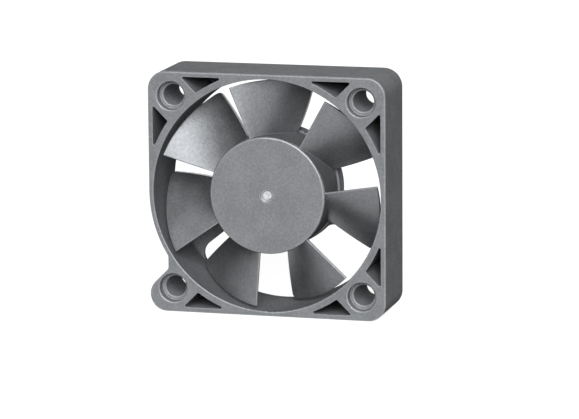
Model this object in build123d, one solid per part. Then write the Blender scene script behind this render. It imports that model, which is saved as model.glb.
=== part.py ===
from build123d import *

import os
from math import cos, radians, sin, sqrt, tan

# Axial cooling fan, 50 x 50 x 15 mm, in millimetres.
# The origin is on the rotor's axis at mid depth. +X is right, +Z up and +Y to the rear,
# so the air inlet and the hub's face look to -Y. Angles are counter-clockwise seen from the front.

# Fits between pieces
seat_gap = 0.02          # radial gap of a pressed or glued piece
slide_gap = 0.015        # radial gap of the bearing bores on the shaft

# Frame
frame_width = 50.0
frame_depth = 15.0
corner_round = 3.8
duct_wall = 1.0          # thinnest wall, at the middle of each side
edge_round = 0.35        # outer edges, front and rear
rim_round = 0.25         # front rim of the duct
hole_inset = 5.0         # from the frame's sides, which makes the spacing 40
hole_diameter = 4.3
recess_diameter = 5.9    # round recess at each end of each hole
recess_depth = 1.9
recess_chamfer = 0.2     # mouths of the recess and of the bore

# Cored pockets beside the holes
pocket_side_wall = 1.0
pocket_ring_wall = 1.45
pocket_hole_wall = 2.1
pocket_floor = 1.2
pocket_round = 0.28

# Side notch for the leads, above the lower left ear
notch_depth = 3.9
ear_wall = 1.39          # from the hole to the slanted edge of the ear
notch_round = 0.8

# Motor base and struts at the rear
web_thickness = 1.2      # rear web: floor of the motor base and back of every strut
base_radius = 12.55
base_rim_height = 3.3    # from the rear face to the front of the rim
base_rim_step = 0.08     # rim inside the edge of the base's floor
base_rim_wall = 0.8
boss_wall = 0.98         # plastic around the bearing tube
label_seat_depth = 0.15
label_seat_margin = 1.1
lead_strut_angle = 210.0
lead_strut_half_angle = 8.7
strut_count = 3
slim_strut_width = 2.4
slim_strut_rib = 1.2     # width of the rib in front of the web
slim_rib_height = 1.3
strut_hub_round = 2.5
strut_ring_round = 2.6
channel_depth = 0.7      # lead channel, open to the rear
channel_width = 2.6
lead_slot_length = 1.2   # radial length of the slot from the base to the channel
lead_slot_edge = 0.2     # web left between the slot and the base's rim
board_post_diameter = 1.6

# Impeller
hub_radius = 12.15
hub_setback = 0.6        # hub face behind the frame's front face
hub_face = 0.9
hub_wall = 0.8
hub_edge_round = 0.45
hub_base_gap = 0.6
shaft_boss_radius = 1.9
shaft_boss_length = 1.1
dimple_diameter = 3.0
dimple_depth = 0.35
blade_count = 7
blade_lead_angle = 161.3     # at the tip
blade_lead_lag = 2.3         # of the leading edge at the root
blade_sweep = 38.7           # at the tip
blade_trail_lag = 0.7        # of the trailing edge at the root, the other way
blade_trail_bow = 0.25       # outward bow of the trailing edge
tip_gap = 0.75
blade_setback = 0.6      # leading edge behind the frame's front face
blade_rear_gap = 0.1     # trailing edge ahead of the hub's rear end
blade_root_thickness = 1.4   # along the axis, as of the next one
blade_tip_thickness = 1.0
blade_lead_taper = 0.4       # share of the thickness that the leading edge lacks
blade_taper_sweep = 10.0     # degrees over which it grows to the full thickness
blade_lead_slope = 0.12      # mm of depth per degree at the leading edge
blade_tip_round = 1.0        # corner at the trailing edge
blade_nose_bevel = 0.2       # along the leading edge, front and rear

# Rotor yoke, magnet and shaft
yoke_thickness = 0.6
yoke_setback = 0.4       # end of the yoke inside the hub's rear end
magnet_thickness = 1.36
magnet_floor_gap = 1.18  # from the yoke's floor to the magnet
magnet_setback = 0.4     # inside the open end of the yoke
shaft_diameter = 2.0
shaft_end_setback = 0.65
clip_groove_radius = 0.75
clip_thickness = 0.3
clip_radius = 1.9
clip_gap = 0.05          # play between the clip and the rear bearing

# Bearing tube and bearings
bearing_radius = 3.0
bearing_width = 2.5
tube_wall = 0.6
tube_land_radius = 2.5   # shoulder between the two bearings
tube_front_gap = 0.6     # from the boss of the impeller to the front bearing
tube_rear_setback = 0.6
ball_count = 7
ball_diameter = 0.8
ball_circle_radius = 2.0
ball_clearance = 0.03
inner_shoulder_radius = 1.7
outer_shoulder_radius = 2.3
shield_thickness = 0.12
shield_setback = 0.12
shield_seat_radius = 2.5
shield_inner_radius = 1.85
cage_inner_radius = 1.84
cage_outer_radius = 2.18
cage_start = 0.1
cage_end = 0.82
cage_clearance = 0.04
spring_length = 2.7      # room for the spring between the shoulder and the rear bearing
spring_width = 0.4       # of its flat wire, along the radius
spring_wire = 0.3        # along the axis
spring_turns = 3.5

# Stator
air_gap = 0.3
magnet_overhang = 1.5    # magnet beyond the stack at each end
pole_count = 4
yoke_ring_width = 1.6    # ring of the core around the bearing tube
tooth_width = 2.2
shoe_thickness = 1.1
shoe_half_angle = 38.0
insulator_thickness = 0.7
slot_liner = 0.3
flange_height = 1.2      # height of the insulator's coil flanges
flange_width = 0.4
coil_width = 1.6         # winding beside the tooth
coil_end_height = 1.15   # winding in front of and behind the tooth
coil_gap = 0.1
coil_round = 0.6

# Circuit board and its components
board_thickness = 0.8
board_gap = 0.55         # to the base's rim
board_post_height = 0.8
pin_radius = 0.25
pin_circle_radius = 5.9
pin_tail = 0.5
pin_hole_gap = 0.05
sensor_size = (2.6, 1.6, 1.0)    # length, width and height, as of the next ones
sensor_inset = 1.22      # from the board's edge to the middle, as of the next ones
sensor_angle = 45.0
chip_size = (3.0, 2.4, 0.9)
chip_inset = 3.02
chip_angle = 270.0       # between two pins
resistor_size = (1.6, 0.8, 0.45)
resistor_angles = (118.0, 135.0, 152.0)
resistor_inset = 1.52
capacitor_size = (2.0, 1.25, 0.9)
capacitor_angle = 315.0
capacitor_inset = 2.12

# Values that follow from the sizes above
front = -frame_depth / 2
rear = frame_depth / 2
half_width = frame_width / 2
duct_radius = half_width - duct_wall
hole_radius = hole_diameter / 2
hole_place = half_width - hole_inset
web_front = rear - web_thickness
rim_radius = base_radius - base_rim_step
base_rim_front = rear - base_rim_height
hub_front = front + hub_setback
hub_rear = base_rim_front - hub_base_gap
tip_radius = duct_radius - tip_gap
shaft_radius = shaft_diameter / 2
yoke_radius = hub_radius - hub_wall - seat_gap
yoke_front = hub_front + hub_face + seat_gap
yoke_rear = hub_rear - yoke_setback
magnet_outer = yoke_radius - yoke_thickness - seat_gap
magnet_inner = magnet_outer - magnet_thickness
magnet_rear = yoke_rear - magnet_setback
magnet_front = yoke_front + yoke_thickness + magnet_floor_gap
boss_end = hub_front + hub_face + shaft_boss_length
front_bearing_front = boss_end + tube_front_gap
front_bearing_rear = front_bearing_front + bearing_width
tube_radius = bearing_radius + tube_wall
tube_rear = rear - tube_rear_setback
shaft_rear = rear - shaft_end_setback
rear_bearing_rear = shaft_rear - 2 * clip_thickness - clip_gap - shaft_radius * 0.1
rear_bearing_front = rear_bearing_rear - bearing_width
land_rear = rear_bearing_front - spring_length
stator_radius = magnet_inner - air_gap
stack_front = magnet_front + magnet_overhang
stack_rear = magnet_rear - magnet_overhang
core_bore = tube_radius + seat_gap
core_ring_radius = core_bore + yoke_ring_width
shoe_inner = stator_radius - shoe_thickness
insulator_front = stack_front - insulator_thickness
insulator_rear = stack_rear + insulator_thickness
boss_radius = core_bore + boss_wall
board_rear = web_front - board_post_height
board_front = board_rear - board_thickness
board_radius = rim_radius - base_rim_wall - board_gap

FAN_AXIS = Axis((0, 0, 0), (0, -1, 0))


def turn(piece, angle):
    """The piece turned counter-clockwise, seen from the front."""
    return piece.rotate(FAN_AXIS, angle)


def slab(outline, from_y, to_y):
    """Solid of an outline seen from the front, between two depths."""
    return extrude(Plane.XZ.offset(-to_y) * outline, to_y - from_y)


def polar(radius, angle):
    """Point at a radius and angle in the front view."""
    return (radius * cos(radians(angle)), radius * sin(radians(angle)))


def wedge(half_angle):
    """Triangle from the axis past the frame, as wide as twice an angle, about +X."""
    corners = [(0, 0), polar(frame_width, -half_angle), polar(frame_width, half_angle)]
    return make_face(Polyline(*corners, close=True))


def ring(outer, inner, from_y, to_y):
    """Round ring about the fan's axis."""
    return slab(Circle(outer) - Circle(inner), from_y, to_y)


def turned(*points):
    """Piece turned about the fan's axis from (radius, depth) corners."""
    return revolve(make_face(Polyline(*points, close=True)), Axis.Y)


def corners_near(sketch, point, reach):
    """Corners of a sketch that lie within reach of a point."""
    return sketch.vertices().filter_by(lambda v: (Vector(v) - Vector(*point)).length < reach)


# Frame
def frame_outline():
    """Square with round corners, and the notch above the lower left ear."""
    wall_x = notch_depth - half_width
    ring_z = -sqrt(half_width ** 2 - wall_x ** 2)
    ear_radius = hole_radius + ear_wall
    ear_x = ear_radius - half_width
    slant = (ear_x - ear_radius / sqrt(2), ear_x + ear_radius / sqrt(2))
    inner_corner = (wall_x, wall_x + ear_radius * sqrt(2))
    middle = polar(half_width, 180 + Vector(wall_x, ring_z).get_angle(Vector(-1, 0)) / 2)
    sketch = make_face([
        *Polyline((-half_width, 0), (-half_width, half_width), (half_width, half_width),
                  (half_width, -half_width), (ear_x, -half_width)).edges(),
        ThreePointArc((ear_x, -half_width), (-half_width, ear_x), slant),
        *Polyline(slant, inner_corner, (wall_x, ring_z)).edges(),
        ThreePointArc((wall_x, ring_z), middle, (-half_width, 0)),
    ])
    for x, z in ((-1, 1), (1, 1), (1, -1)):
        corner = (x * half_width, z * half_width)
        sketch = fillet(corners_near(sketch, corner, 0.01), corner_round)
    for corner in (inner_corner, (wall_x, ring_z)):
        sketch = fillet(corners_near(sketch, corner, 0.01), notch_round)
    return sketch


def pocket_outline():
    """Upper right pocket under the top side: side wall, hole boss and ring bound it."""
    top = half_width - pocket_side_wall
    boss_line = (hole_radius + pocket_hole_wall) * sqrt(2)
    ring_radius = duct_radius + pocket_ring_wall
    area = make_face(Polyline((0, top), (top - boss_line, top), (-boss_line, 0), (-top, 0), close=True))
    area = area - Circle(ring_radius) - Pos(-half_width, 0) * Rectangle(frame_width, 2 * frame_width)
    return fillet(area.vertices(), pocket_round)


def pockets():
    """Two pockets per corner; the notch takes the place of the lower left one on the side."""
    one = slab(pocket_outline(), front - 1, rear - pocket_floor)
    pair = [one, mirror(one, Plane(origin=(0, 0, 0), z_dir=(1, 0, -1)))]
    cuts = [turn(piece, 90 * corner) for corner in range(4) for piece in pair]
    return [cut for cut in cuts if not in_notch(cut)]


def in_notch(cut):
    """Whether a pocket would lie at the notch on the left side."""
    middle = cut.center()
    return middle.X < -hole_place and -hole_place < middle.Z < 0


def screw_holes():
    """Through hole at each corner with a recess at both ends."""
    recess_radius = recess_diameter / 2
    recess_floor = front + recess_depth
    front_half = [
        (0, front - 1), (recess_radius + recess_chamfer + 1, front - 1),
        (recess_radius, front + recess_chamfer), (recess_radius, recess_floor),
        (hole_radius + recess_chamfer, recess_floor), (hole_radius, recess_floor + recess_chamfer),
    ]
    profile = turned(*front_half, *[(radius, -depth) for radius, depth in reversed(front_half)])
    return [Pos(x, 0, z) * profile for x in (-hole_place, hole_place) for z in (-hole_place, hole_place)]


def air_openings():
    """The three openings between the struts, seen from the front."""
    area = Circle(duct_radius) - Circle(base_radius)
    area = area - Rot(0, 0, lead_strut_angle) * wedge(lead_strut_half_angle)
    for number in range(1, strut_count):
        angle = lead_strut_angle + 360 / strut_count * number
        bar = Pos(half_width / 2, 0) * Rectangle(half_width, slim_strut_width)
        area = area - Rot(0, 0, angle) * bar
    hub_end = area.vertices().filter_by(lambda v: Vector(v).length < (base_radius + duct_radius) / 2)
    area = fillet(hub_end, strut_hub_round)
    ring_end = area.vertices().filter_by(lambda v: Vector(v).length > duct_radius - 0.01)
    return fillet(ring_end, strut_ring_round)


def lead_channel():
    """Cuts for the leads: a channel in the back of the wide strut and a slot into the base."""
    reach = half_width + corner_round
    slot_end = rim_radius - base_rim_wall - lead_slot_edge
    start = slot_end - lead_slot_length
    channel = Pos((start + reach) / 2, 0) * Rectangle(reach - start, channel_width)
    slot = Pos((start + slot_end) / 2, 0) * Rectangle(lead_slot_length, channel_width)
    cuts = [slab(channel, rear - channel_depth, rear + 1),
            slab(slot, web_front - board_post_height / 2, rear + 1)]
    return [turn(cut, lead_strut_angle) for cut in cuts]


def motor_cup():
    """Front of the motor base: rim, boss for the bearing tube and board posts."""
    cup = ring(rim_radius, rim_radius - base_rim_wall, base_rim_front, web_front)
    cup += slab(Circle(boss_radius), insulator_rear + seat_gap, web_front)
    post = slab(Circle(board_post_diameter / 2), board_rear, web_front)
    post_radius = (boss_radius + board_radius) / 2
    for number in range(strut_count):
        x, z = polar(post_radius, lead_strut_angle + 60 + 360 / strut_count * number)
        cup += Pos(x, 0, z) * post
    return cup


def strut_ribs():
    """Rib in front of the web of each slim strut, from the base's rim to the duct."""
    start = rim_radius - base_rim_wall / 2
    length = duct_radius + duct_wall / 2 - start
    outline = Pos(start + length / 2, 0) * Rectangle(length, slim_strut_rib)
    rib = slab(outline, web_front - slim_rib_height, web_front)
    step = 360 / strut_count
    return [turn(rib, lead_strut_angle + step * number) for number in range(1, strut_count)]


def frame():
    """Moulded frame: square shell, duct, pockets, screw holes, struts and motor base."""
    body = slab(frame_outline(), front, rear)
    body = fillet(body.edges().filter_by(lambda e: abs(abs(e.center().Y) - rear) < 0.001), edge_round)
    body -= slab(Circle(duct_radius), front - 1, web_front)
    rim = body.edges().filter_by(GeomType.CIRCLE).filter_by(
        lambda e: abs(e.radius - duct_radius) < 0.001 and abs(e.center().Y - front) < 0.001)
    body = fillet(rim, rim_round)
    body -= slab(air_openings(), web_front, rear + 1)
    body += motor_cup()
    for rib in strut_ribs():
        body += rib
    body -= slab(Circle(core_bore), insulator_rear, rear + 1)
    body -= slab(Circle(base_radius - label_seat_margin), rear - label_seat_depth, rear + 1)
    for cut in pockets() + screw_holes() + lead_channel():
        body -= cut
    return body


# Impeller
def blade_depth(angle):
    """Depth of the blade's front surface, at an angle behind its leading edge."""
    start = front + blade_setback
    end = hub_rear - blade_rear_gap - blade_tip_thickness + blade_lead_slope
    bend = (end - start - blade_lead_slope * blade_sweep) / blade_sweep ** 2
    return start + blade_lead_slope * angle + bend * angle ** 2


def blade_section(distance, thickness):
    """Blade section in a plane across its middle line, at a distance from the axis."""
    margin = 3.0
    steps = 6
    front_line = []
    shares = []
    for number in range(steps + 1):
        angle = -margin + (blade_sweep + 2 * margin) * number / steps
        side = distance * tan(radians(blade_sweep / 2 - angle))
        front_line.append(Vector(distance, blade_depth(angle), side))
        shares.append(1 - blade_lead_taper * max(0, 1 - angle / blade_taper_sweep))
    rear_line = [point + Vector(0, thickness * share, 0) for point, share in zip(front_line, shares)][::-1]
    border = [Spline(*front_line), Line(front_line[-1], rear_line[0]),
              Spline(*rear_line), Line(rear_line[-1], front_line[0])]
    return make_face(border)


def blade_view():
    """Blade seen from the front, with its leading edge at the top and a round trailing corner."""
    half = blade_sweep / 2
    root = hub_radius - hub_wall / 2
    lead_root, lead_tip = polar(root, half - blade_lead_lag), polar(tip_radius, half)
    trail_root, trail_tip = polar(root, blade_trail_lag - half), polar(tip_radius, -half)
    area = make_face([
        Line(lead_root, lead_tip), ThreePointArc(lead_tip, (tip_radius, 0), trail_tip),
        SagittaArc(trail_tip, trail_root, blade_trail_bow), ThreePointArc(trail_root, (root, 0), lead_root)])
    return fillet(corners_near(area, trail_tip, 0.01), blade_tip_round)


def blade():
    """Curved blade with straight radial lines, thinner at the tip than at the hub."""
    inner = hub_radius * 0.7
    outer = tip_radius * 1.05
    share = (outer - hub_radius) / (tip_radius - hub_radius)
    slope = blade_tip_thickness - blade_root_thickness
    inner_thickness = blade_root_thickness + slope * (inner - hub_radius) / (tip_radius - hub_radius)
    outer_thickness = blade_root_thickness + slope * share
    sheet = loft([blade_section(inner, inner_thickness), blade_section(outer, outer_thickness)], ruled=True)
    body = sheet & slab(blade_view(), front, rear)
    nose = body.edges().filter_by(lambda e: e.length > hub_radius / 2).sort_by(Axis.Z)[-2:]
    return chamfer(nose, blade_nose_bevel)


def impeller():
    """Hub cup with the shaft boss inside and seven blades around it."""
    shaft_hole = shaft_radius + seat_gap
    hub = turned(
        (dimple_diameter / 2, hub_front), (hub_radius, hub_front), (hub_radius, hub_rear),
        (hub_radius - hub_wall, hub_rear), (hub_radius - hub_wall, hub_front + hub_face),
        (shaft_boss_radius, hub_front + hub_face), (shaft_boss_radius, boss_end),
        (shaft_hole, boss_end), (shaft_hole, hub_front + dimple_depth),
        (dimple_diameter / 2 - dimple_depth / 2, hub_front + dimple_depth),
    )
    edge = hub.edges().filter_by(GeomType.CIRCLE).filter_by(
        lambda e: abs(e.radius - hub_radius) < 0.001 and abs(e.center().Y - hub_front) < 0.001)
    hub = fillet(edge, hub_edge_round)
    one = blade()
    for number in range(blade_count):
        hub += turn(one, blade_lead_angle - blade_sweep / 2 - 360 / blade_count * number)
    return hub


def rotor_yoke():
    """Drawn steel cup that closes the magnet's field, pressed into the hub."""
    inner = yoke_radius - yoke_thickness
    bore = shaft_boss_radius + seat_gap
    return turned(
        (bore, yoke_front), (yoke_radius, yoke_front), (yoke_radius, yoke_rear),
        (inner, yoke_rear), (inner, yoke_front + yoke_thickness), (bore, yoke_front + yoke_thickness))


def shaft():
    """Shaft with a groove for the clip near its rear end and chamfered ends."""
    tip = shaft_radius * 0.1
    start = hub_front + dimple_depth
    groove_front = rear_bearing_rear + clip_gap
    groove_rear = groove_front + clip_thickness + clip_gap
    return turned(
        (0, start), (shaft_radius - tip, start), (shaft_radius, start + tip),
        (shaft_radius, groove_front), (clip_groove_radius, groove_front),
        (clip_groove_radius, groove_rear), (shaft_radius, groove_rear),
        (shaft_radius, shaft_rear - tip), (shaft_radius - tip, shaft_rear), (0, shaft_rear))


def shaft_clip():
    """Open retaining ring in the shaft's groove."""
    start = rear_bearing_rear + clip_gap
    bore = clip_groove_radius + seat_gap
    outline = Circle(clip_radius) - Circle(bore)
    outline -= Pos(0, -clip_radius) * Rectangle(2 * bore * 0.8, 2 * clip_radius)
    for side in (-1, 1):
        outline -= Pos(side * clip_radius, clip_radius * 0.2) * Circle(clip_radius * 0.35)
    return slab(outline, start, start + clip_thickness)


def shaft_shim():
    """Spacer between the impeller's boss and the inner ring of the front bearing."""
    return ring(inner_shoulder_radius - 0.1, shaft_radius + slide_gap,
                boss_end + seat_gap, front_bearing_front - seat_gap)


# Bearings
def bearing_tube():
    """Turned tube with a seat for a bearing at each end and a shoulder between them."""
    return turned(
        (bearing_radius, front_bearing_front), (tube_radius, front_bearing_front), (tube_radius, tube_rear),
        (bearing_radius, tube_rear), (bearing_radius, land_rear), (tube_land_radius, land_rear),
        (tube_land_radius, front_bearing_rear), (bearing_radius, front_bearing_rear))


def raceway(middle):
    """Round groove that the balls run in, with a little clearance."""
    section = Pos(ball_circle_radius, middle) * Circle(ball_diameter / 2 + ball_clearance)
    return revolve(section, Axis.Y)


def outer_ring(start):
    """Outer ring of a bearing with its raceway and a seat for each shield."""
    end = start + bearing_width
    outside = bearing_radius - seat_gap
    seat = shield_setback + shield_thickness + seat_gap
    body = turned(
        (shield_seat_radius, start), (outside, start), (outside, end), (shield_seat_radius, end),
        (shield_seat_radius, end - seat), (outer_shoulder_radius, end - seat),
        (outer_shoulder_radius, start + seat), (shield_seat_radius, start + seat))
    return body - raceway((start + end) / 2)


def inner_ring(start):
    """Inner ring of a bearing with its raceway, pressed on the shaft."""
    end = start + bearing_width
    return ring(inner_shoulder_radius, shaft_radius + slide_gap, start, end) - raceway((start + end) / 2)


def balls(start):
    """Set of balls between the two rings."""
    middle = start + bearing_width / 2
    places = [polar(ball_circle_radius, 360 / ball_count * number) for number in range(ball_count)]
    return [Pos(x, middle, z) * Sphere(ball_diameter / 2) for x, z in places]


def cage(start):
    """Crown cage that keeps the balls apart."""
    middle = start + bearing_width / 2
    body = ring(cage_outer_radius, cage_inner_radius, middle + cage_start, middle + cage_end)
    for number in range(ball_count):
        x, z = polar(ball_circle_radius, 360 / ball_count * number)
        body -= Pos(x, middle, z) * Sphere(ball_diameter / 2 + cage_clearance)
    return body


def shields(start):
    """Two pressed discs that close a bearing."""
    outer = shield_seat_radius - seat_gap
    first = start + shield_setback
    last = start + bearing_width - shield_setback
    return [ring(outer, shield_inner_radius, first, first + shield_thickness),
            ring(outer, shield_inner_radius, last - shield_thickness, last)]


def preload_spring():
    """Flat-wire spring between the tube's shoulder and the outer ring of the rear bearing."""
    radius = bearing_radius - 3 * seat_gap - spring_width / 2
    start = Vector(0, land_rear + spring_wire / 2 + 3 * seat_gap, 0)
    length = spring_length - spring_wire - 6 * seat_gap
    path = Helix(length / spring_turns, length, radius, center=start, direction=(0, 1, 0))
    section = Plane(origin=path @ 0, x_dir=path @ 0 - start, z_dir=path % 0)
    return sweep(section * Rectangle(spring_width, spring_wire), path)


# Stator
def pole_outline(extra=0.0):
    """Core seen from the front: ring, teeth and pole shoes. Extra widens the teeth."""
    outline = Circle(core_ring_radius)
    tooth = Pos(stator_radius / 2, 0) * Rectangle(stator_radius - shoe_thickness / 2, tooth_width + 2 * extra)
    shoe = (Circle(stator_radius - extra / 2) - Circle(shoe_inner)) & wedge(shoe_half_angle)
    for number in range(pole_count):
        outline += Rot(0, 0, 360 / pole_count * number) * (tooth + shoe)
    return outline - Circle(core_bore)


def stator_core():
    """Stack of laminations with four poles."""
    return slab(pole_outline(), stack_front, stack_rear)


def insulator(near, far, flange_end):
    """End plate on the core with flanges that hold the coils in place."""
    plate = slab(pole_outline(slot_liner), min(near, far), max(near, far))
    inner_flange = Circle(core_ring_radius) - Circle(core_ring_radius - flange_width)
    outer_flange = Circle(shoe_inner + flange_width) - Circle(shoe_inner)
    flanges = inner_flange
    for number in range(pole_count):
        flanges += outer_flange & (Rot(0, 0, 360 / pole_count * number) * wedge(shoe_half_angle))
    return plate + slab(flanges, min(far, flange_end), max(far, flange_end))


def front_insulator():
    """Front end plate."""
    return insulator(stack_front - seat_gap, insulator_front, insulator_front - flange_height)


def rear_insulator():
    """Rear end plate, with four ears that hold the terminal pins."""
    body = insulator(stack_rear + seat_gap, insulator_rear, insulator_rear + flange_height)
    ear_width = 6 * pin_radius
    ear_length = pin_circle_radius - core_ring_radius + ear_width / 2 + flange_width
    ear = Pos(core_ring_radius - flange_width + ear_length / 2, 0) * Rectangle(ear_length, ear_width)
    for number in range(pole_count):
        place = Rot(0, 0, 360 / pole_count * (number + 0.5))
        hole = Pos(pin_circle_radius, 0) * Circle(pin_radius + seat_gap)
        body += slab(place * ear, stack_rear + seat_gap, insulator_rear)
        body -= slab(place * hole, stack_rear + pin_radius, insulator_rear + 1)
    return body


def coil():
    """Winding around one tooth, wound on the insulators."""
    hole_width = tooth_width + 2 * slot_liner + 2 * seat_gap
    hole_front = insulator_front - seat_gap
    hole_rear = insulator_rear + seat_gap
    width = hole_width + 2 * coil_width
    inner_x = core_ring_radius + coil_gap
    outer_x = sqrt(shoe_inner ** 2 - (width / 2) ** 2) - coil_gap
    length = hole_rear - hole_front + 2 * coil_end_height
    middle = (hole_front + hole_rear) / 2
    face = Plane(origin=(inner_x, middle, 0), x_dir=(0, 0, 1), z_dir=(1, 0, 0))
    outside = RectangleRounded(width, length, coil_round + coil_end_height / 2)
    winding = outside - Rectangle(hole_width, hole_rear - hole_front)
    return extrude(face * winding, outer_x - inner_x)


def terminal_pins():
    """Pins from the rear insulator through the board, one beside each slot."""
    start = stack_rear + pin_radius + seat_gap
    pin = slab(Circle(pin_radius), start, board_rear + pin_tail)
    places = [polar(pin_circle_radius, 360 / pole_count * (number + 0.5)) for number in range(pole_count)]
    return [Pos(x, 0, z) * pin for x, z in places]


# Circuit board
def circuit_board():
    """Round board on the base's posts, around the boss."""
    outline = Circle(board_radius) - Circle(boss_radius + board_gap / 3)
    for number in range(pole_count):
        x, z = polar(pin_circle_radius, 360 / pole_count * (number + 0.5))
        outline -= Pos(x, z) * Circle(pin_radius + pin_hole_gap)
    return slab(outline, board_front, board_rear - seat_gap)


def component(size, inset, angle):
    """Box-shaped component on the front of the board, its length across the radius."""
    length, width, height = size
    outline = Rot(0, 0, angle) * Pos(board_radius - inset, 0) * Rectangle(width, length)
    body = slab(outline, board_front - height, board_front - seat_gap)
    return chamfer(body.edges().group_by(Axis.Y)[0], min(width, height) * 0.12)


parts = {
    "frame": frame(),
    "bearing_tube": bearing_tube(),
    "preload_spring": preload_spring(),
    "stator_core": stator_core(),
    "front_insulator": front_insulator(),
    "rear_insulator": rear_insulator(),
    "terminal_pins": terminal_pins(),
    "circuit_board": circuit_board(),
    "hall_sensor": component(sensor_size, sensor_inset, sensor_angle),
    "driver_chip": component(chip_size, chip_inset, chip_angle),
    "chip_resistors": [component(resistor_size, resistor_inset, angle) for angle in resistor_angles],
    "chip_capacitor": component(capacitor_size, capacitor_inset, capacitor_angle),
    "impeller": impeller(),
    "rotor_yoke": rotor_yoke(),
    "magnet_ring": ring(magnet_outer, magnet_inner, magnet_front, magnet_rear),
    "shaft": shaft(),
    "shaft_clip": shaft_clip(),
    "shaft_shim": shaft_shim(),
}

for number in range(pole_count):
    parts[f"coil_{number + 1}"] = turn(coil(), 360 / pole_count * number)

for place, start in (("front", front_bearing_front), ("rear", rear_bearing_front)):
    parts[f"{place}_bearing_outer_ring"] = outer_ring(start)
    parts[f"{place}_bearing_inner_ring"] = inner_ring(start)
    parts[f"{place}_bearing_balls"] = balls(start)
    parts[f"{place}_bearing_cage"] = cage(start)
    parts[f"{place}_bearing_shields"] = shields(start)

os.makedirs("parts", exist_ok=True)
for name, piece in parts.items():
    solids = piece if isinstance(piece, list) else [piece]
    export_step(Compound(children=[Part(solid.wrapped) for solid in solids]), f"parts/{name}.step")
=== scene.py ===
import math

import bpy
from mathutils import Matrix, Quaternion, Vector


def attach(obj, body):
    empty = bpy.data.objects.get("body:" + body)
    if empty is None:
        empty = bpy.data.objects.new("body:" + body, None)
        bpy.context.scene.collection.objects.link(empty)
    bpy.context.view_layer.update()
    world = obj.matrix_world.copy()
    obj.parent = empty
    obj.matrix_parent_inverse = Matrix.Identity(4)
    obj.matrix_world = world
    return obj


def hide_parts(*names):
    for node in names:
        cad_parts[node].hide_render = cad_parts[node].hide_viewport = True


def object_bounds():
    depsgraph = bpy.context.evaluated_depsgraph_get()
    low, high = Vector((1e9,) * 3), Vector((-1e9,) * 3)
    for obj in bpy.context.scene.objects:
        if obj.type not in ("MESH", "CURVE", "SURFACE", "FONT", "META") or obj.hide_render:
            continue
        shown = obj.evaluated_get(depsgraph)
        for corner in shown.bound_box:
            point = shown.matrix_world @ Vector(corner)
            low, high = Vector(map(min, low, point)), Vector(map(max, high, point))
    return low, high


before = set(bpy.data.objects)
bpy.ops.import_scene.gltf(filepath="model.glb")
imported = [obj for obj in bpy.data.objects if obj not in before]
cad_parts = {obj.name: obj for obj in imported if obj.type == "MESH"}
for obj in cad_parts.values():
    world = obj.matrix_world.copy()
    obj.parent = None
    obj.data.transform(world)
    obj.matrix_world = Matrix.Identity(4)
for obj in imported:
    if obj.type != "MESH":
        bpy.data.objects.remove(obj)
cad_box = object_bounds()
scene = bpy.context.scene
scene.view_settings.view_transform = "Standard"

# Camera
# A long lens from the right of the fan and a little above it.
camera_place = Vector((0.194698, -0.696300, 0.134511))
camera_aim = Vector((0.004922, -0.0075, -0.002518))
camera_roll = math.radians(-0.431)
camera = bpy.data.objects.new("camera", bpy.data.cameras.new("camera"))
camera.data.lens = 222.55
camera.data.sensor_width = 36.0
camera.data.clip_start = 0.05
camera.location = camera_place
camera.rotation_mode = "QUATERNION"
camera.rotation_quaternion = (
    (camera_place - camera_aim).to_track_quat("Z", "Y") @ Quaternion((0, 0, 1), camera_roll))
scene.collection.objects.link(camera)
scene.camera = camera


# Studio light
# One large soft lamp in front of the fan, above it and a little to its right, a second one low
# behind it for its rear, and a faint even light from all round.
def lamp(name, towards, energy, angle):
    """A soft lamp far away in a direction, as seen from the fan."""
    light = bpy.data.lights.new(name, "SUN")
    light.energy = energy
    light.angle = math.radians(angle)
    made = bpy.data.objects.new(name, light)
    made.rotation_mode = "QUATERNION"
    made.rotation_quaternion = Vector(towards).to_track_quat("Z", "Y")
    scene.collection.objects.link(made)


lamp("key_lamp", (0.222, -0.86, 0.46), energy=2.73, angle=42)
lamp("back_lamp", (-0.20, 0.96, 0.18), energy=1.6, angle=60)


def add(tree, kind, **values):
    """A new node. A value goes to the socket or setting of that name, and a socket is linked."""
    made = tree.nodes.new("ShaderNode" + kind)
    for name, value in values.items():
        socket = made.inputs.get(name.replace("_", " "))
        if socket is None:
            setattr(made, name, value)
        elif isinstance(value, bpy.types.NodeSocket):
            tree.links.new(value, socket)
        else:
            socket.default_value = value
    return made


def maths(tree, operation, *values, clamp=False):
    """The output of a Math node on numbers or sockets."""
    made = tree.nodes.new("ShaderNodeMath")
    made.operation = operation
    made.use_clamp = clamp
    for socket, value in zip(made.inputs, values):
        if isinstance(value, bpy.types.NodeSocket):
            tree.links.new(value, socket)
        else:
            socket.default_value = value
    return made.outputs[0]


def seen_or_mirrored(tree):
    """1 for rays from the camera and from mirror-like or clear surfaces, and 0 for the others."""
    path = add(tree, "LightPath").outputs
    seen = maths(tree, "MAXIMUM", path["Is Camera Ray"], path["Is Glossy Ray"])
    return maths(tree, "MAXIMUM", seen, path["Is Transmission Ray"])


world = bpy.data.worlds.new("studio")
scene.world = world
world.use_nodes = True
sky = world.node_tree
sky.nodes.clear()
even_light = 0.023
strength = maths(sky, "MAXIMUM", seen_or_mirrored(sky), even_light)
background = add(sky, "Background", Color=(1, 1, 1, 1), Strength=strength)
sky.links.new(background.outputs[0], add(sky, "OutputWorld").inputs["Surface"])

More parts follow.
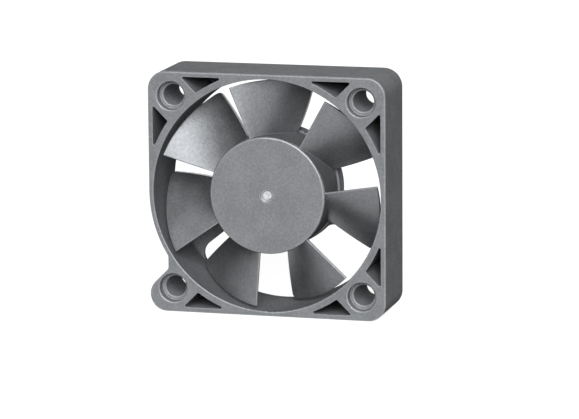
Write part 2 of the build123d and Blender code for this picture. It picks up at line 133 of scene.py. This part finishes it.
# Floor
# Pale studio paper under the fan. It stays white to the camera, apart from the fan's own shadow.
floor_size = 4.0
floor_gap = 0.0001
floor_level = cad_box[0].z - floor_gap
mesh = bpy.data.meshes.new("floor")
half = floor_size / 2
mesh.from_pydata([(-half, -half, floor_level), (half, -half, floor_level),
                  (half, half, floor_level), (-half, half, floor_level)], [], [(0, 1, 2, 3)])
floor = bpy.data.objects.new("floor", mesh)
scene.collection.objects.link(floor)
paper = bpy.data.materials.new("studio_paper")
paper.use_nodes = True
tree = paper.node_tree
tree.nodes.clear()
lit = add(tree, "BsdfDiffuse", Color=(0.4, 0.4, 0.4, 1))
paper_glow = 0.92
glow = add(tree, "Emission", Color=(1, 1, 1, 1),
           Strength=maths(tree, "MULTIPLY", seen_or_mirrored(tree), paper_glow))
both = add(tree, "AddShader")
tree.links.new(lit.outputs[0], both.inputs[0])
tree.links.new(glow.outputs[0], both.inputs[1])
tree.links.new(both.outputs[0], add(tree, "OutputMaterial").inputs["Surface"])
mesh.materials.append(paper)


# Frame
# Injection moulded in grey glass-filled polyester. The mould's fine spark-eroded grain leaves it
# satin, with faint flow clouds.
def linear(*levels):
    """Colour for a socket from levels of 0 to 255 as a screen shows them."""
    return tuple((v / 255 / 12.92 if v <= 10 else ((v / 255 + 0.055) / 1.055) ** 2.4) for v in levels) + (1,)


def group(name, inputs, outputs):
    """A new shader node group with its sockets, its input node and its output node."""
    made = bpy.data.node_groups.new(name, "ShaderNodeTree")
    for socket, (kind, value) in inputs.items():
        made.interface.new_socket(socket, in_out="INPUT", socket_type=kind).default_value = value
    for socket, kind in outputs.items():
        made.interface.new_socket(socket, in_out="OUTPUT", socket_type=kind)
    return made, made.nodes.new("NodeGroupInput"), made.nodes.new("NodeGroupOutput")


FLOAT, COLOUR = "NodeSocketFloat", "NodeSocketColor"


def mix_colour(tree, factor, first, second):
    """The output of a Mix node between two colours or colour sockets."""
    made = tree.nodes.new("ShaderNodeMix")
    made.data_type = "RGBA"
    for socket, value in ((made.inputs[0], factor), (made.inputs[6], first), (made.inputs[7], second)):
        if isinstance(value, bpy.types.NodeSocket):
            tree.links.new(value, socket)
        else:
            socket.default_value = value
    return made.outputs[2]


def mask(tree, value, low, high):
    """0 below low and 1 above high, or the other way round if low is above high."""
    made = add(tree, "MapRange", Value=value)
    made.inputs["From Min"].default_value = low
    made.inputs["From Max"].default_value = high
    return made.outputs[0]


# Shared by the moulded pieces: grain of the mould's surface, the slight waviness of the cooled
# wall, clouds where the melt has flowed, and a painted highlight that makes the edges paler.
skin, skin_in, skin_out = group(
    "moulded_skin",
    {"Grain Scale": (FLOAT, 7000.0), "Speck Scale": (FLOAT, 1900.0), "Speck Share": (FLOAT, 0.0),
     "Cloud Scale": (FLOAT, 220.0), "Wave Share": (FLOAT, 0.0),
     "Light": (COLOUR, (0.5, 0.5, 0.5, 1)), "Dark": (COLOUR, (0.4, 0.4, 0.4, 1)),
     "Edge": (COLOUR, (0.6, 0.6, 0.6, 1)), "Edge Share": (FLOAT, 0.0)},
    {"Color": COLOUR, "Height": FLOAT, "Roughness Shift": FLOAT, "Edge Mask": FLOAT,
     "Rounded": "NodeSocketVector"})
place = add(skin, "TexCoord").outputs["Object"]
grain = add(skin, "TexNoise", Vector=place, Scale=skin_in.outputs["Grain Scale"], Detail=3.0,
            Roughness=0.65)
cloud = add(skin, "TexNoise", Vector=place, Scale=skin_in.outputs["Cloud Scale"], Detail=4.0,
            Roughness=0.55)
speck = add(skin, "TexNoise", Vector=place, Scale=skin_in.outputs["Speck Scale"], Detail=1.2)
cloud_part, speck_part = 0.45, 0.55
blend = maths(skin, "ADD", maths(skin, "MULTIPLY", cloud.outputs["Fac"], cloud_part),
              maths(skin, "MULTIPLY", speck.outputs["Fac"], speck_part))
wave_scale = 420.0
wave = add(skin, "TexNoise", Vector=place, Scale=wave_scale, Detail=1.0)
edge_radius = 0.00025
rounded = add(skin, "Bevel", samples=4, Radius=edge_radius).outputs[0]
skin.links.new(rounded, skin_out.inputs["Rounded"])
facing = add(skin, "VectorMath", operation="DOT_PRODUCT")
skin.links.new(rounded, facing.inputs[0])
skin.links.new(add(skin, "NewGeometry").outputs["Normal"], facing.inputs[1])
still_flat, well_round = 0.99, 0.93     # cosines of how far a rounding turns the surface
edge_mask = mask(skin, facing.outputs["Value"], still_flat, well_round)
# Painted highlight: where a rounding turns the surface, the colour is mixed towards the Edge colour.
painted_edge_highlight = maths(skin, "MULTIPLY", edge_mask, skin_in.outputs["Edge Share"])
all_dark, all_light = 0.38, 0.62
clouded = mix_colour(skin, mask(skin, blend, all_dark, all_light), skin_in.outputs["Dark"],
                     skin_in.outputs["Light"])
skin.links.new(mix_colour(skin, painted_edge_highlight, clouded, skin_in.outputs["Edge"]), skin_out.inputs["Color"])
skin.links.new(edge_mask, skin_out.inputs["Edge Mask"])
uneven = maths(
    skin, "ADD", maths(skin, "MULTIPLY", speck.outputs["Fac"], skin_in.outputs["Speck Share"]),
    maths(skin, "MULTIPLY", wave.outputs["Fac"], skin_in.outputs["Wave Share"]))
grain_share = 0.3
fine = maths(skin, "MULTIPLY", grain.outputs["Fac"], grain_share)
skin.links.new(maths(skin, "ADD", fine, uneven), skin_out.inputs["Height"])
glossiest, dullest = 0.3, 0.7
skin.links.new(mask(skin, cloud.outputs["Fac"], glossiest, dullest), skin_out.inputs["Roughness Shift"])


def material(name, roughness=0.5, metallic=0.0, **shader):
    """A new material, its node tree and its shader, with what is even all over set on the shader."""
    made = bpy.data.materials.new(name)
    made.use_nodes = True
    bsdf = made.node_tree.nodes["Principled BSDF"]
    bsdf.inputs["Roughness"].default_value = roughness
    bsdf.inputs["Metallic"].default_value = metallic
    for socket, value in shader.items():
        bsdf.inputs[socket.replace("_", " ")].default_value = value
    return made, made.node_tree, bsdf


def dress(made, *names):
    """Gives CAD nodes their material."""
    for name in names:
        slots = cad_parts[name].data.materials
        slots.clear()
        slots.append(made)


def moulded(name, light, dark, smooth, rough, bump, grain_scale=7000.0, cloud_scale=220.0,
            speck=0.0, wave=0.0, edge=(1, 1, 1, 1), edge_share=0.0, **shader):
    """A moulded plastic with its skin: grain in the bump, clouds in the colour and the gloss."""
    made, tree, bsdf = material(name, **shader)
    used = tree.nodes.new("ShaderNodeGroup")
    used.node_tree = skin
    used.inputs["Grain Scale"].default_value = grain_scale
    used.inputs["Cloud Scale"].default_value = cloud_scale
    used.inputs["Speck Share"].default_value = speck
    used.inputs["Wave Share"].default_value = wave
    used.inputs["Edge"].default_value = edge
    used.inputs["Edge Share"].default_value = edge_share
    used.inputs["Light"].default_value = light
    used.inputs["Dark"].default_value = dark
    spread = add(tree, "MapRange", Value=used.outputs["Roughness Shift"])
    spread.inputs["To Min"].default_value = smooth
    spread.inputs["To Max"].default_value = rough
    tree.links.new(used.outputs["Color"], bsdf.inputs["Base Color"])
    tree.links.new(spread.outputs[0], bsdf.inputs["Roughness"])
    relief = add(tree, "Bump", Height=used.outputs["Height"], Distance=bump,
                 Normal=used.outputs["Rounded"])
    tree.links.new(relief.outputs[0], bsdf.inputs["Normal"])
    return made, tree, bsdf


def distance(tree, first, second):
    """The length of a line with these two legs."""
    return maths(tree, "SQRT", maths(tree, "ADD", maths(tree, "MULTIPLY", first, first),
                                     maths(tree, "MULTIPLY", second, second)))


# Painted highlight: the frame's edges are mixed towards the paler edge colour given here.
frame_plastic, tree, bsdf = moulded(
    "frame_plastic", linear(154, 156, 159), linear(138, 140, 143), smooth=0.47, rough=0.57,
    bump=0.000012, speck=1.2, wave=1.5, edge=linear(190, 192, 196), edge_share=0.6,
    Specular_IOR_Level=0.0)

# Painted shade: the pockets' walls are given a darker grey with depth, standing in for the shade deep in
# them.
spot = add(tree, "SeparateXYZ", Vector=add(tree, "TexCoord").outputs["Object"]).outputs
across, ahead, height = (maths(tree, "ABSOLUTE", spot[axis]) for axis in "XYZ")
half_depth = 0.0075
duct_radius = 0.024
ring_radius = 0.02542         # outside of the wall around the duct
side_inside = 0.02403         # inside of the outer wall
hole_place = 0.02
post_radius = 0.00422         # of the post around each screw hole
seam = 0.00007                # over which one finish passes into the next
corner_seam = 0.0004          # the same at the solid corners
pocket_shade = 0.0017         # depth at which a pocket's walls are darkest
from_axis = distance(tree, across, height)
behind_ring = mask(tree, from_axis, ring_radius - seam, ring_radius)
behind_side = mask(tree, maths(tree, "MAXIMUM", across, height), side_inside + seam, side_inside)
off_corner = mask(tree, maths(tree, "MINIMUM", across, height), hole_place + corner_seam, hole_place)
off_hole = mask(tree, distance(tree, maths(tree, "SUBTRACT", across, hole_place),
                               maths(tree, "SUBTRACT", height, hole_place)),
                post_radius - seam, post_radius)
deep = mask(tree, ahead, half_depth - seam, half_depth - pocket_shade)
in_pocket = behind_ring
for share in (behind_side, off_corner, off_hole, deep):
    in_pocket = maths(tree, "MULTIPLY", in_pocket, share)
plain = bsdf.inputs["Base Color"].links[0].from_socket
pocket_shade_grey = linear(126, 127, 130)
pocket_shaded = mix_colour(tree, in_pocket, plain, pocket_shade_grey)

# Painted shade: the duct's wall is given a darker colour, standing in for the shade inside the
# duct. The edges and the narrow roundings and chamfers along both faces have a sheen. Where two
# places are given for the bound of a mask, it is absent at the first and whole at the second.
wall_inner, wall_outer = (-0.0004, -0.0003), (0.00032, 0.00005)    # from the duct's radius
wall_end = (0.0001, 0.0004)                                        # in from the frame's faces
on_wall = maths(
    tree, "MULTIPLY", mask(tree, from_axis, duct_radius + wall_outer[0], duct_radius + wall_outer[1]),
    mask(tree, from_axis, duct_radius + wall_inner[0], duct_radius + wall_inner[1]))
in_duct = maths(tree, "MULTIPLY", on_wall,
                mask(tree, ahead, half_depth - wall_end[0], half_depth - wall_end[1]))
duct_shade_share, edge_sheen = 0.66, 0.7                  # of the frame's colour, and of a mirror
duct_shade_colour = mix_colour(tree, duct_shade_share, (0, 0, 0, 1), pocket_shaded)
tree.links.new(mix_colour(tree, in_duct, pocket_shaded, duct_shade_colour), bsdf.inputs["Base Color"])
facing = add(tree, "SeparateXYZ", Vector=add(tree, "NewGeometry").outputs["Normal"]).outputs["Y"]
facing = maths(tree, "ABSOLUTE", facing)
flat_face, side_wall = (0.995, 0.96), (0.1, 0.3)    # cosines between the surface and the face
rounding_end = (0.0009, 0.0007)                     # in from the frame's faces
tilted = maths(tree, "MULTIPLY", mask(tree, facing, *flat_face), mask(tree, facing, *side_wall))
at_face = maths(tree, "MULTIPLY", tilted,
                mask(tree, ahead, half_depth - rounding_end[0], half_depth - rounding_end[1]))
edge_mask = next(node for node in tree.nodes if node.type == "GROUP").outputs["Edge Mask"]
tree.links.new(maths(tree, "MULTIPLY", maths(tree, "MAXIMUM", edge_mask, at_face), edge_sheen),
               bsdf.inputs["Metallic"])
dress(frame_plastic, "frame")

# Bearing tube
# Turned from brass rod, with the tool's fine rings on it. It is pressed into the frame's boss.
rings, rings_in, rings_out = group(
    "turned_rings", {"Pitch": (FLOAT, 0.0001)}, {"Height": FLOAT, "Sheen": FLOAT})
place = add(rings, "TexCoord").outputs["Object"]
parts = add(rings, "SeparateXYZ", Vector=place).outputs
radius = distance(rings, parts["X"], parts["Z"])
travel = maths(rings, "DIVIDE", maths(rings, "ADD", radius, parts["Y"]), rings_in.outputs["Pitch"])
uneven = add(rings, "TexNoise", Vector=place, Scale=900.0, Detail=3.0).outputs["Fac"]
chatter = 3.0    # how far the tool's rings waver, in radians of one ring
turns = maths(rings, "SINE", maths(rings, "ADD", maths(rings, "MULTIPLY", travel, 2 * math.pi),
                                   maths(rings, "MULTIPLY", uneven, chatter)))
rings.links.new(turns, rings_out.inputs["Height"])
rings.links.new(uneven, rings_out.inputs["Sheen"])


def turned_metal(name, light, dark, smooth, rough, pitch, bump, **shader):
    """A turned or ground metal: rings of the tool, and uneven colour and gloss."""
    made, tree, bsdf = material(name, metallic=1.0, **shader)
    used = tree.nodes.new("ShaderNodeGroup")
    used.node_tree = rings
    used.inputs["Pitch"].default_value = pitch
    spread = add(tree, "MapRange", Value=used.outputs["Sheen"])
    spread.inputs["To Min"].default_value = smooth
    spread.inputs["To Max"].default_value = rough
    tree.links.new(spread.outputs[0], bsdf.inputs["Roughness"])
    tree.links.new(mix_colour(tree, mask(tree, used.outputs["Sheen"], 0.35, 0.65), dark, light),
                   bsdf.inputs["Base Color"])
    relief = add(tree, "Bump", Height=used.outputs["Height"], Distance=bump)
    tree.links.new(relief.outputs[0], bsdf.inputs["Normal"])
    return made, tree, bsdf


tube_brass, *_ = turned_metal(
    "tube_brass", linear(214, 178, 106), linear(186, 148, 82), smooth=0.24, rough=0.4,
    pitch=0.00012, bump=0.000002)
dress(tube_brass, "bearing_tube")

# Preload spring, bearing shields and shaft clip
# Hard spring steel: a coil of flat wire, pressed discs and an open ring stamped from strip.
spring_steel, *_ = turned_metal(
    "spring_steel", linear(176, 176, 178), linear(146, 146, 150), smooth=0.3, rough=0.45,
    pitch=0.00009, bump=0.0000012)
dress(spring_steel, "preload_spring", "shaft_clip", "front_bearing_shields", "rear_bearing_shields")

# Stator core
# Silicon steel laminations, each 0.35 mm thick, stacked and riveted. Their edges show as bands.
core_steel, *_ = turned_metal(
    "core_steel", linear(128, 128, 132), linear(92, 92, 98), smooth=0.35, rough=0.55,
    pitch=0.00035, bump=0.00002)
dress(core_steel, "stator_core")

# Insulators
# Moulded in natural white nylon. One sits on each end of the core and keeps the wire off the
# steel.
insulator_plastic, *_ = moulded(
    "insulator_plastic", linear(236, 232, 220), linear(222, 216, 200), smooth=0.35, rough=0.5,
    bump=0.000006, cloud_scale=500.0)
dress(insulator_plastic, "front_insulator", "rear_insulator")

# Windings
# 0.18 mm enamelled copper wire on each insulated tooth, wound to and fro in six layers of nine
# turns. The clear enamel is glossy, so that the copper shows through it.
coil_copper, tree, bsdf = material("coil_copper", metallic=1.0, Coat_Weight=0.5, Coat_Roughness=0.15)
place = add(tree, "TexCoord").outputs["Object"]
patches = add(tree, "TexNoise", Vector=place, Scale=700.0, Detail=3.0).outputs["Fac"]
tree.links.new(mix_colour(tree, mask(tree, patches, 0.35, 0.65), linear(160, 78, 38),
                          linear(204, 112, 60)), bsdf.inputs["Base Color"])
gloss = add(tree, "MapRange", Value=patches)
gloss.inputs["To Min"].default_value = 0.2
gloss.inputs["To Max"].default_value = 0.36
tree.links.new(gloss.outputs[0], bsdf.inputs["Roughness"])
relief = add(tree, "Bump", Height=patches, Distance=0.000004)
tree.links.new(relief.outputs[0], bsdf.inputs["Normal"])


def step(tree, kind, **values):
    """A new geometry node. A value goes to the socket or setting of that name, or links to it."""
    made = tree.nodes.new(kind)
    for name, value in values.items():
        socket = next((s for s in made.inputs if s.name == name.replace("_", " ") and s.enabled), None)
        if socket is None:
            setattr(made, name, value)
        elif isinstance(value, bpy.types.NodeSocket):
            tree.links.new(value, socket)
        else:
            socket.default_value = value
    return made


winding = bpy.data.node_groups.new("winding", "GeometryNodeTree")
winding.is_modifier = True
winding.interface.new_socket("Geometry", in_out="OUTPUT", socket_type="NodeSocketGeometry")
winding_sizes = {
    "Wire": 0.00018,
    "Turns": 9.0,
    "Layers": 6.0,
    "Points": 40.0,           # along one turn
    "Window Width": 0.00284,  # around the insulated tooth
    "Window Length": 0.00544,
    "Corner": 0.0003,
    "Middle Depth": -0.0007,
    "Inner End": 0.00534,     # from the fan's axis
    "Outer End": 0.00723,
    "Side Step": 0.00026,     # from layer to layer beside the tooth
    "End Step": 0.00018,      # from layer to layer in front of and behind it
    "Tooth Angle": 0.0,
}
winding_socket = {}
for name, size in winding_sizes.items():
    made = winding.interface.new_socket(name, in_out="INPUT", socket_type=FLOAT)
    made.default_value = size
    winding_socket[name] = made.identifier
made = winding.interface.new_socket("Copper", in_out="INPUT", socket_type="NodeSocketMaterial")
winding_socket["Copper"] = made.identifier

sizes = winding.nodes.new("NodeGroupInput").outputs
window = step(winding, "GeometryNodeCurvePrimitiveQuadrilateral",
              Width=sizes["Window Length"], Height=sizes["Window Width"])
inner_turn = step(winding, "GeometryNodeFilletCurve", mode="POLY", Curve=window.outputs[0], Count=6,
                  Radius=sizes["Corner"])
all_turns = maths(winding, "MULTIPLY", sizes["Turns"], sizes["Layers"])
line = step(winding, "GeometryNodeMeshLine",
            Count=maths(winding, "MULTIPLY", all_turns, sizes["Points"]), Offset=(0.0, 0.0, 0.001))
point_now = winding.nodes.new("GeometryNodeInputIndex").outputs[0]
turn_now = maths(winding, "DIVIDE", point_now, sizes["Points"])
layer_now = maths(winding, "FLOOR", maths(winding, "DIVIDE", turn_now, sizes["Turns"]))
along = maths(winding, "DIVIDE", maths(winding, "MODULO", turn_now, sizes["Turns"]), sizes["Turns"])
returns = maths(winding, "MODULO", layer_now, 2.0)
travel = maths(winding, "ABSOLUTE", maths(winding, "SUBTRACT", returns, along))
half_wire = maths(winding, "MULTIPLY", sizes["Wire"], 0.5)
start = maths(winding, "ADD", sizes["Inner End"], half_wire)
room = maths(winding, "SUBTRACT", maths(winding, "SUBTRACT", sizes["Outer End"], half_wire), start)
out_from_axis = maths(winding, "ADD", start, maths(winding, "MULTIPLY", travel, room))
spot = step(winding, "GeometryNodeSampleCurve", Curves=inner_turn.outputs[0],
            Factor=maths(winding, "FRACT", turn_now))
here = step(winding, "ShaderNodeSeparateXYZ", Vector=spot.outputs["Position"]).outputs
heading = step(winding, "ShaderNodeSeparateXYZ", Vector=spot.outputs["Tangent"]).outputs


def laid(across, outward, per_layer):
    """Place across the winding: on the window's edge, half a wire off it, and out by the layer."""
    offset = maths(winding, "ADD", maths(winding, "MULTIPLY", layer_now, per_layer), half_wire)
    return maths(winding, "ADD", across, maths(winding, "MULTIPLY", outward, offset))


depth = maths(winding, "ADD", sizes["Middle Depth"], laid(here[0], heading[1], sizes["End Step"]))
side = laid(here[1], maths(winding, "MULTIPLY", heading[0], -1.0), sizes["Side Step"])
wound = step(winding, "GeometryNodeSetPosition", Geometry=line.outputs[0], Position=step(
    winding, "ShaderNodeCombineXYZ", X=out_from_axis, Y=depth, Z=side).outputs[0])
path = step(winding, "GeometryNodeMeshToCurve", Mesh=wound.outputs[0])
section = step(winding, "GeometryNodeCurvePrimitiveCircle", Resolution=6, Radius=half_wire)
wire = step(winding, "GeometryNodeCurveToMesh", Curve=path.outputs[0], Profile_Curve=section.outputs[0],
            Fill_Caps=True)
turned = step(winding, "GeometryNodeTransform", Geometry=wire.outputs[0], Rotation=step(
    winding, "ShaderNodeCombineXYZ", Y=maths(winding, "MULTIPLY", sizes["Tooth Angle"], -1.0)).outputs[0])
smooth = step(winding, "GeometryNodeSetShadeSmooth", Geometry=turned.outputs[0])
whole = step(winding, "GeometryNodeRealizeInstances", Geometry=smooth.outputs[0])
finished = step(winding, "GeometryNodeSetMaterial", Geometry=whole.outputs[0], Material=sizes["Copper"])
winding.links.new(finished.outputs[0], winding.nodes.new("NodeGroupOutput").inputs[0])

for number in range(4):
    coil = bpy.data.objects.new(f"coil_{number + 1}_wire", bpy.data.meshes.new("wire"))
    scene.collection.objects.link(coil)
    wind = coil.modifiers.new("winding", "NODES")
    wind.node_group = winding
    wind[winding_socket["Tooth Angle"]] = math.radians(90 * number)
    wind[winding_socket["Copper"]] = coil_copper
    baked = bpy.data.meshes.new_from_object(coil.evaluated_get(bpy.context.evaluated_depsgraph_get()))
    coil.modifiers.remove(wind)
    coil.data = baked
    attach(coil, "housing")
    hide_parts(f"coil_{number + 1}")

# Terminal pins
# Drawn brass, tinned. They are pressed into the rear insulator, and their ends pass through the
# board and are soldered to it.
pin_brass, *_ = turned_metal(
    "pin_brass", linear(214, 206, 180), linear(190, 180, 150), smooth=0.2, rough=0.35,
    pitch=0.0002, bump=0.000002)
dress(pin_brass, "terminal_pins")

# Circuit board
# Glass-fibre laminate under green solder mask. Its copper tracks show through the mask as paler
# arcs, and a tinned land surrounds each of the four pins.
board_laminate, tree, bsdf = moulded(
    "board_laminate", linear(46, 112, 66), linear(34, 92, 53), smooth=0.28, rough=0.42,
    bump=0.000004, grain_scale=3000.0, cloud_scale=700.0)
land_place, land_radius, land_rim = 0.00424, 0.00062, 0.00003
track_pitch = 0.0009
track_edge = (0.2, 0.16)      # from its middle, in parts of the pitch
track_gaps = (0.48, 0.5)      # levels of the noise that parts one track from the next
spot = add(tree, "SeparateXYZ", Vector=add(tree, "TexCoord").outputs["Object"]).outputs
across, height = (maths(tree, "ABSOLUTE", spot[axis]) for axis in "XZ")
from_pin = distance(tree, maths(tree, "SUBTRACT", across, land_place),
                    maths(tree, "SUBTRACT", height, land_place))
land = mask(tree, from_pin, land_radius + land_rim, land_radius)
radius = distance(tree, across, height)
wander = add(tree, "TexNoise", Vector=add(tree, "TexCoord").outputs["Object"], Scale=220.0,
             Detail=0.0).outputs["Fac"]
lane = maths(tree, "FRACT", maths(tree, "DIVIDE", radius, track_pitch))
off_track = maths(tree, "ABSOLUTE", maths(tree, "SUBTRACT", lane, 0.5))
track = maths(tree, "MULTIPLY", mask(tree, off_track, *track_edge), mask(tree, wander, *track_gaps))
plain = bsdf.inputs["Base Color"].links[0].from_socket
tracked = mix_colour(tree, track, plain, linear(78, 146, 88))
tree.links.new(mix_colour(tree, land, tracked, linear(205, 205, 204)), bsdf.inputs["Base Color"])
tree.links.new(land, bsdf.inputs["Metallic"])
dress(board_laminate, "circuit_board")

# Chips
# The sensor for the rotor's place and the driver for the windings, each moulded in black epoxy
# and soldered on the board.
chip_black, *_ = moulded(
    "chip_black", linear(42, 42, 44), linear(30, 30, 32), smooth=0.5, rough=0.65,
    bump=0.00001, grain_scale=5000.0)
dress(chip_black, "hall_sensor", "driver_chip")

# Resistors and capacitor
# A black glazed film on ceramic, and a fired ceramic block. Both have tinned ends.
ends, ends_in, ends_out = group(
    "tinned_ends", {"First Angle": (FLOAT, 0.0), "Spacing": (FLOAT, 1.0), "Half Body": (FLOAT, 0.0005)},
    {"Tin": FLOAT})
spot = add(ends, "SeparateXYZ", Vector=add(ends, "TexCoord").outputs["Object"]).outputs
half_spacing = maths(ends, "MULTIPLY", ends_in.outputs["Spacing"], 0.5)
turned_by = maths(ends, "SUBTRACT", maths(ends, "ARCTAN2", spot["Z"], spot["X"]),
                  maths(ends, "SUBTRACT", ends_in.outputs["First Angle"], half_spacing))
off_middle = maths(ends, "SUBTRACT", maths(ends, "FLOORED_MODULO", turned_by, ends_in.outputs["Spacing"]),
                   half_spacing)
sideways = maths(ends, "MULTIPLY", maths(ends, "ABSOLUTE", off_middle),
                 distance(ends, spot["X"], spot["Z"]))
ends.links.new(maths(ends, "GREATER_THAN", sideways, ends_in.outputs["Half Body"]), ends_out.inputs["Tin"])


def tin_ends(tree, bsdf, first_angle, spacing, half_body):
    """Tins a component's ends: metal beyond half the length of the bare body."""
    used = tree.nodes.new("ShaderNodeGroup")
    used.node_tree = ends
    used.inputs["First Angle"].default_value = math.radians(first_angle)
    used.inputs["Spacing"].default_value = math.radians(spacing)
    used.inputs["Half Body"].default_value = half_body
    tin = used.outputs["Tin"]
    plain = bsdf.inputs["Base Color"].links[0].from_socket
    tree.links.new(mix_colour(tree, tin, plain, linear(206, 206, 204)), bsdf.inputs["Base Color"])
    tree.links.new(tin, bsdf.inputs["Metallic"])


resistor_glaze, tree, bsdf = moulded(
    "resistor_glaze", linear(36, 36, 38), linear(26, 26, 28), smooth=0.25, rough=0.4,
    bump=0.000004, grain_scale=5000.0)
tin_ends(tree, bsdf, first_angle=118.0, spacing=17.0, half_body=0.0005)
dress(resistor_glaze, "chip_resistors")
capacitor_ceramic, tree, bsdf = moulded(
    "capacitor_ceramic", linear(186, 154, 112), linear(164, 132, 94), smooth=0.35, rough=0.5,
    bump=0.000004)
tin_ends(tree, bsdf, first_angle=-45.0, spacing=90.0, half_body=0.00068)
dress(capacitor_ceramic, "chip_capacitor")

# Impeller
# Moulded in one piece from the same grey polyester as the frame, and fixed to the shaft in its hub.
# The mould is polished along the blades, the rim and the dimple, so these have a sheen that the
# spark-eroded face of the hub lacks.
# Painted highlight: the impeller's edges are mixed towards the paler edge colour given here.
impeller_plastic, tree, bsdf = moulded(
    "impeller_plastic", linear(155, 157, 160), linear(139, 141, 144), smooth=0.395, rough=0.485,
    bump=0.00001, speck=2.6, wave=3.2, edge=linear(200, 202, 206), edge_share=0.8, Specular_IOR_Level=0.0)
spot = add(tree, "SeparateXYZ", Vector=add(tree, "TexCoord").outputs["Object"]).outputs
hub_radius, dimple_radius, dimple_seam = 0.01215, 0.0015, 0.00003
rim_start, rim_rear = 0.0118, -0.0064     # rounding between the hub's face and its side
rim_start_seam, rim_rear_seam = 0.00015, 0.0002
blade_start, side_start = (0.00002, 0.00007), (-0.0001, -0.00005)    # from the hub's radius
from_axis = distance(tree, spot["X"], spot["Z"])
on_blade = mask(tree, from_axis, hub_radius + blade_start[0], hub_radius + blade_start[1])
on_rim = maths(tree, "MULTIPLY", mask(tree, from_axis, rim_start - rim_start_seam, rim_start),
               mask(tree, spot["Y"], rim_rear + rim_rear_seam, rim_rear))
in_dimple = mask(tree, from_axis, dimple_radius + dimple_seam, dimple_radius)
polished = maths(tree, "MAXIMUM", maths(tree, "MAXIMUM", on_blade, on_rim), in_dimple)
face_colour = bsdf.inputs["Base Color"].links[0].from_socket
# Painted shade: the blades and the side of the hub take a darker share of the hub's colour, standing in for
# the shade they lie in.
blade_shade_share, side_shade_share = 0.76, 0.58      # of the hub's colour
blade_sheen, hub_roughness = 0.7, 0.08    # of a mirror, and above that of the blades
blade_shade_colour = mix_colour(tree, blade_shade_share, (0, 0, 0, 1), face_colour)
on_side = maths(
    tree, "MULTIPLY", mask(tree, from_axis, hub_radius + side_start[0], hub_radius + side_start[1]),
    mask(tree, spot["Y"], rim_rear, rim_rear + rim_rear_seam))
hub_side_shade_colour = mix_colour(tree, side_shade_share, (0, 0, 0, 1), face_colour)
hub_colour = mix_colour(tree, on_side, face_colour, hub_side_shade_colour)
tree.links.new(mix_colour(tree, on_blade, hub_colour, blade_shade_colour), bsdf.inputs["Base Color"])
tree.links.new(maths(tree, "MULTIPLY", polished, blade_sheen), bsdf.inputs["Metallic"])
gloss = bsdf.inputs["Roughness"].links[0].from_socket
hub_only = maths(tree, "SUBTRACT", 1.0, polished)
tree.links.new(maths(tree, "ADD", gloss, maths(tree, "MULTIPLY", hub_only, hub_roughness)),
               bsdf.inputs["Roughness"])
dress(impeller_plastic, "impeller")

# Rotor yoke
# A cup deep drawn from steel sheet, pressed into the hub. It closes the magnet's field.
yoke_steel, *_ = turned_metal(
    "yoke_steel", linear(172, 172, 170), linear(140, 140, 140), smooth=0.3, rough=0.5,
    pitch=0.0005, bump=0.000003)
dress(yoke_steel, "rotor_yoke")

# Magnet ring
# Ferrite powder bonded in rubber, a ring glued into the yoke. Its surface is dull and dark.
magnet_rubber, *_ = moulded(
    "magnet_rubber", linear(66, 62, 60), linear(48, 45, 44), smooth=0.55, rough=0.75,
    bump=0.00001, grain_scale=4000.0)
dress(magnet_rubber, "magnet_ring")

# Shaft and shim
# Hardened steel, ground and polished. The shaft is pressed into the hub and its end shows in the
# dimple. The shim lies between the hub's boss and the front bearing.
shaft_steel, *_ = turned_metal(
    "shaft_steel", linear(216, 216, 218), linear(190, 190, 194), smooth=0.14, rough=0.26,
    pitch=0.00008, bump=0.0000008)
dress(shaft_steel, "shaft", "shaft_shim")

# Bearings
# Rings and balls of bearing steel, ground and lapped, and a moulded nylon cage. The outer rings
# sit in the tube and the inner rings on the shaft.
bearing_steel, *_ = turned_metal(
    "bearing_steel", linear(190, 190, 194), linear(164, 164, 170), smooth=0.18, rough=0.3,
    pitch=0.00006, bump=0.0000006)
cage_nylon, *_ = moulded(
    "cage_nylon", linear(226, 214, 180), linear(204, 190, 156), smooth=0.35, rough=0.5,
    bump=0.000004)
for end in ("front", "rear"):
    dress(bearing_steel, f"{end}_bearing_outer_ring", f"{end}_bearing_inner_ring", f"{end}_bearing_balls")
    dress(cage_nylon, f"{end}_bearing_cage")
